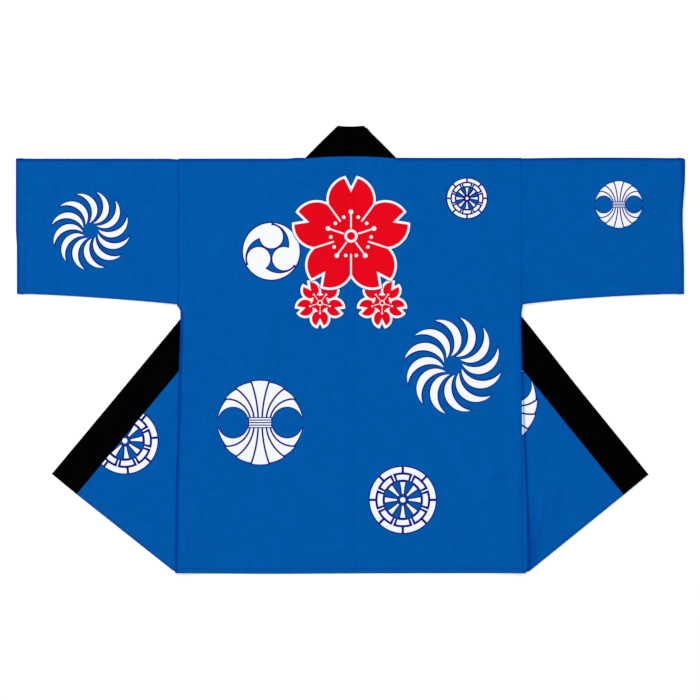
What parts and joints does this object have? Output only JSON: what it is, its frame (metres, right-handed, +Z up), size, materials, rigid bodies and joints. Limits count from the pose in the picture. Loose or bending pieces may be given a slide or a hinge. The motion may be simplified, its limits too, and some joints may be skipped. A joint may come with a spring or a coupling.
{
  "type": "happi coat",
  "caption": "Cotton happi coat laid flat, back up, with wide sleeves and both fronts folded out to show the collar.",
  "frame": {"origin": "middle of the garment's plan, on the surface it lies on", "axes": "+X from the left cuff to the right cuff as the back is seen, +Y from the hem to the nape, +Z up from the surface, out of the back"},
  "size_m": [1.287, 0.862, 0.0072],
  "materials": {
    "printed_cotton": "matt plain weave, printed",
    "black_cotton": "matt plain weave"
  },
  "bodies": {
    "root": {"back_left": "printed_cotton", "back_right": "printed_cotton", "front_left": "printed_cotton", "front_right": "printed_cotton", "sleeve_left": "printed_cotton", "sleeve_right": "printed_cotton", "collar_left": "black_cotton", "collar_right": "black_cotton", "collar_neck": "black_cotton"}
  },
  "joints": []
}
